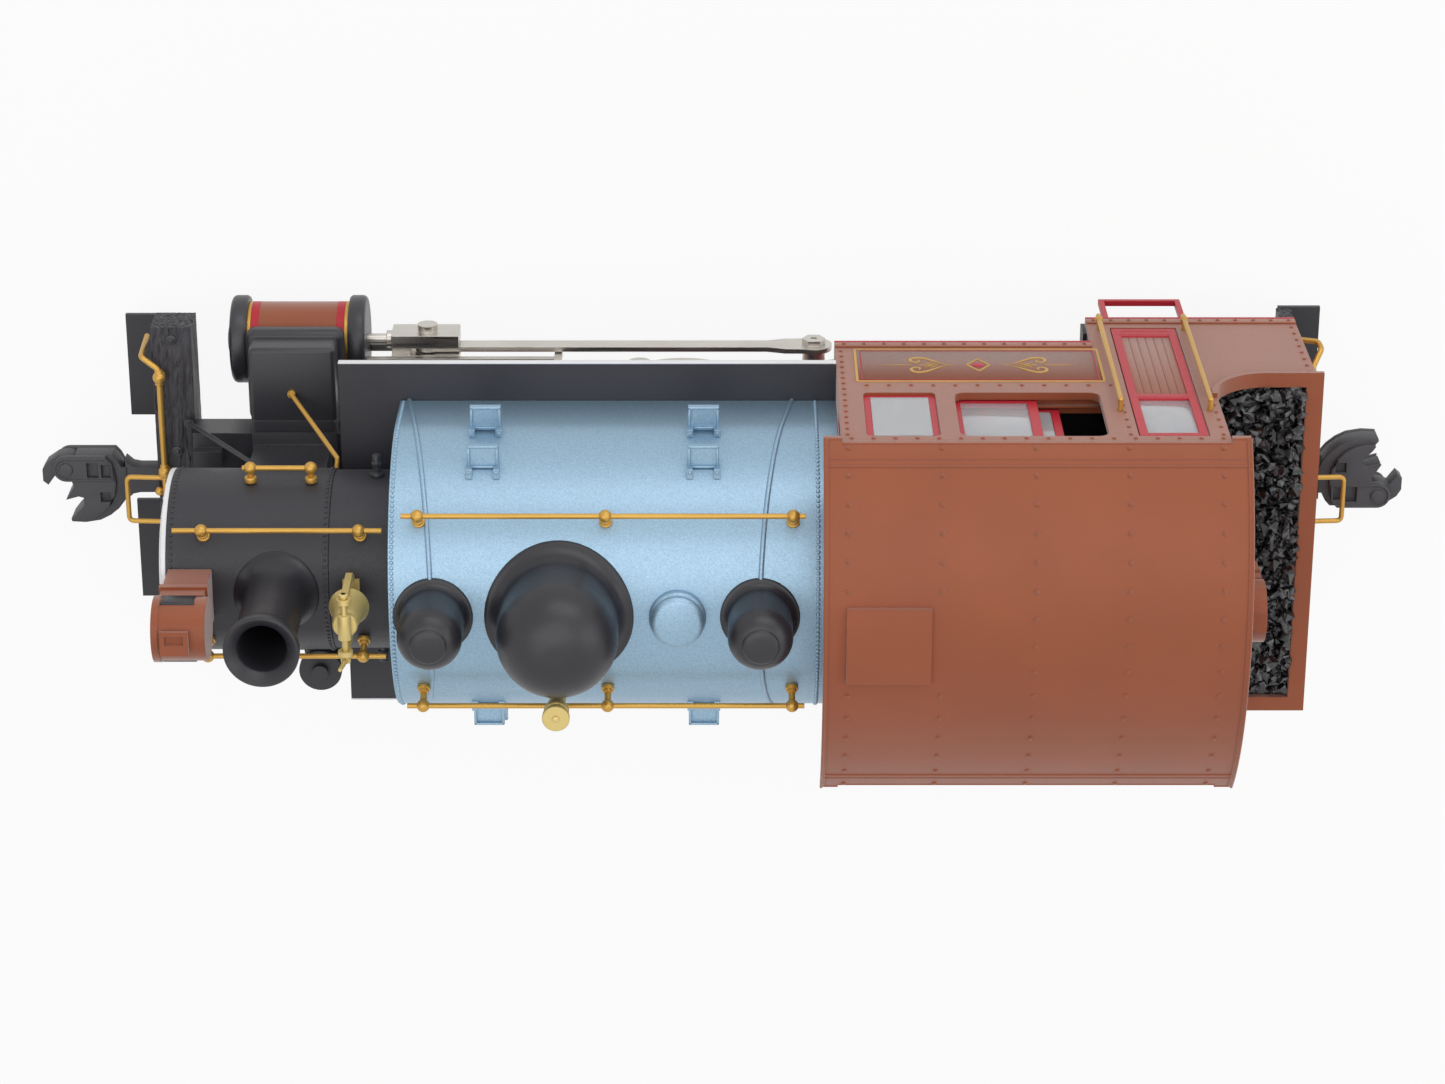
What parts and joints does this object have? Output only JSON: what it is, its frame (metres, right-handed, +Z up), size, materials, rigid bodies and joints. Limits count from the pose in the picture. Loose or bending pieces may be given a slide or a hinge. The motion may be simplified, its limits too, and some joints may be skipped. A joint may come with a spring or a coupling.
{
  "type": "model saddle tank steam locomotive",
  "caption": "Garden railway saddle tank steam locomotive with outside cylinders, side rods, cab with bunker, headlights, bell and knuckle couplers.",
  "frame": {"origin": "middle of the engine's length and width at the bottom of the wheel flanges", "axes": "+X forward along the rails, +Y to the engine's left, +Z up"},
  "size_m": [0.378, 0.1032, 0.1502],
  "materials": {
    "black_metal": "satin black",
    "black_plastic": "satin black moulding",
    "black_gloss": "semi gloss black",
    "beam_wood": "black moulding with wood grain",
    "brown_paint": "satin brown",
    "tank_blue": "metallic light blue",
    "red_paint": "satin red",
    "gold_paint": "satin gold",
    "brass": "polished",
    "nickel": "bright nickel",
    "silver_paint": "silver",
    "motor_steel": "plated can",
    "lamp_clear": "clear moulding",
    "window_clear": "clear moulding",
    "coal": "gloss black lumps"
  },
  "bodies": {
    "chassis": {"main_frame": "black_metal", "keeper_plate": "black_plastic", "frame_screws": "nickel", "buffer_beams": "beam_wood", "footboards": "black_plastic", "cylinder_saddle": "black_plastic", "cylinder_jackets": "brown_paint", "cylinder_covers": "black_plastic", "guide_bars": "nickel", "brake_gear": "black_plastic", "motor": "motor_steel", "running_boards": "black_plastic", "smokebox": "black_plastic", "smokebox_front": "silver_paint", "stack": "black_plastic", "headlight_housings": "brown_paint", "headlight_lamps": "lamp_clear", "bell_stand": "brass", "boiler_barrel": "black_plastic", "saddle_tank": "tank_blue", "domes": "black_gloss", "whistle": "brass", "filler_cap": "tank_blue", "tank_steps": "tank_blue", "handrails": "gold_paint", "brace_rods": "black_plastic", "steam_pipes": "gold_paint", "air_pump": "black_plastic", "cab_body": "brown_paint", "cab_roof": "brown_paint", "window_frames": "red_paint", "cab_glazing": "window_clear", "cab_steps": "red_paint", "cab_floor": "black_plastic", "coal_load": "coal", "backhead": "black_plastic", "cut_levers": "gold_paint"},
    "rear_wheelset": {"rear_axle": "nickel", "rear_wheels": "red_paint"},
    "middle_wheelset": {"middle_axle": "nickel", "middle_wheels": "red_paint"},
    "front_wheelset": {"front_axle": "nickel", "front_wheels": "red_paint"},
    "worm_drive": {"worm_shaft": "brass"},
    "right_coupling_rod": {"right_side_rod": "nickel"},
    "left_coupling_rod": {"left_side_rod": "nickel"},
    "right_piston": {"right_crosshead": "nickel"},
    "left_piston": {"left_crosshead": "nickel"},
    "right_connecting_rod": {"right_main_rod": "nickel"},
    "left_connecting_rod": {"left_main_rod": "nickel"},
    "bell_body": {"bell": "brass"},
    "front_coupler_body": {"front_coupler": "black_metal"},
    "rear_coupler_body": {"rear_coupler": "black_metal"},
    "front_knuckle_body": {"front_knuckle": "black_metal"},
    "rear_knuckle_body": {"rear_knuckle": "black_metal"},
    "right_door_leaf": {"right_door": "red_paint"},
    "left_door_leaf": {"left_door": "red_paint"},
    "right_sash_pane": {"right_sash": "red_paint"},
    "left_sash_pane": {"left_sash": "red_paint"},
    "roof_hatch_cover": {"roof_hatch": "brown_paint"}
  },
  "joints": [
    {"name": "rear_wheel_spin", "type": "hinge", "parent": "chassis", "child": "rear_wheelset", "pos_m": [-0.0372, 0, 0.0205], "axis": [0, 1, 0], "continuous": true},
    {"name": "middle_wheel_spin", "type": "hinge", "parent": "chassis", "child": "middle_wheelset", "pos_m": [0.011, 0, 0.0205], "axis": [0, 1, 0], "continuous": true},
    {"name": "front_wheel_spin", "type": "hinge", "parent": "chassis", "child": "front_wheelset", "pos_m": [0.0592, 0, 0.0205], "axis": [0, 1, 0], "continuous": true},
    {"name": "worm_spin", "type": "hinge", "parent": "chassis", "child": "worm_drive", "pos_m": [0.011, 0, 0.03015], "axis": [1, 0, 0], "continuous": true},
    {"name": "right_rod_level", "type": "hinge", "parent": "rear_wheelset", "child": "right_coupling_rod", "pos_m": [-0.0252, -0.029, 0.0205], "axis": [0, 1, 0], "continuous": true},
    {"name": "left_rod_level", "type": "hinge", "parent": "rear_wheelset", "child": "left_coupling_rod", "pos_m": [-0.0372, 0.029, 0.0085], "axis": [0, 1, 0], "continuous": true},
    {"name": "right_piston_stroke", "type": "slide", "parent": "chassis", "child": "right_piston", "axis": [1, 0, 0], "range_m": [-0.024, 0]},
    {"name": "left_piston_stroke", "type": "slide", "parent": "chassis", "child": "left_piston", "axis": [1, 0, 0], "range_m": [-0.01132, 0.01268]},
    {"name": "right_rod_swing", "type": "hinge", "parent": "right_piston", "child": "right_connecting_rod", "pos_m": [0.0814, -0.03635, 0.0205], "axis": [0, 1, 0], "range_deg": [-6.46, 6.46]},
    {"name": "left_rod_swing", "type": "hinge", "parent": "left_piston", "child": "left_connecting_rod", "pos_m": [0.06872, 0.03635, 0.0205], "axis": [0, 1, 0], "range_deg": [0, 12.93]},
    {"name": "bell_swing", "type": "hinge", "parent": "chassis", "child": "bell_body", "pos_m": [0.096, 0, 0.13], "axis": [0, 1, 0], "range_deg": [-24, 24]},
    {"name": "front_coupler_swing", "type": "hinge", "parent": "chassis", "child": "front_coupler_body", "pos_m": [0.138, 0, 0.0265], "axis": [0, 0, 1], "range_deg": [-12, 12]},
    {"name": "rear_coupler_swing", "type": "hinge", "parent": "chassis", "child": "rear_coupler_body", "pos_m": [-0.138, 0, 0.0265], "axis": [0, 0, 1], "range_deg": [-12, 12]},
    {"name": "front_knuckle_open", "type": "hinge", "parent": "front_coupler_body", "child": "front_knuckle_body", "pos_m": [0.182, -0.0039, 0.0265], "axis": [0, 0, 1], "range_deg": [-40, 0]},
    {"name": "rear_knuckle_open", "type": "hinge", "parent": "rear_coupler_body", "child": "rear_knuckle_body", "pos_m": [-0.182, 0.0039, 0.0265], "axis": [0, 0, 1], "range_deg": [-40, 0]},
    {"name": "right_door_open", "type": "hinge", "parent": "chassis", "child": "right_door_leaf", "pos_m": [-0.1224, -0.046, 0.078], "axis": [0, 0, 1], "range_deg": [0, 75]},
    {"name": "left_door_open", "type": "hinge", "parent": "chassis", "child": "left_door_leaf", "pos_m": [-0.1224, 0.046, 0.078], "axis": [0, 0, 1], "range_deg": [-75, 0]},
    {"name": "right_sash_slide", "type": "slide", "parent": "chassis", "child": "right_sash_pane", "axis": [1, 0, 0], "range_m": [-0.019, 0]},
    {"name": "left_sash_slide", "type": "slide", "parent": "chassis", "child": "left_sash_pane", "axis": [1, 0, 0], "range_m": [-0.019, 0]},
    {"name": "roof_hatch_slide", "type": "slide", "parent": "chassis", "child": "roof_hatch_cover", "axis": [1, 0, 0], "range_m": [-0.018, 0]}
  ],
  "couplings": [
    {"joint": "middle_wheel_spin", "follows": "rear_wheel_spin", "ratio": 1},
    {"joint": "front_wheel_spin", "follows": "rear_wheel_spin", "ratio": 1},
    {"joint": "worm_spin", "follows": "rear_wheel_spin", "ratio": -12},
    {"joint": "right_rod_level", "follows": "rear_wheel_spin", "ratio": -1},
    {"joint": "left_rod_level", "follows": "rear_wheel_spin", "ratio": -1}
  ]
}
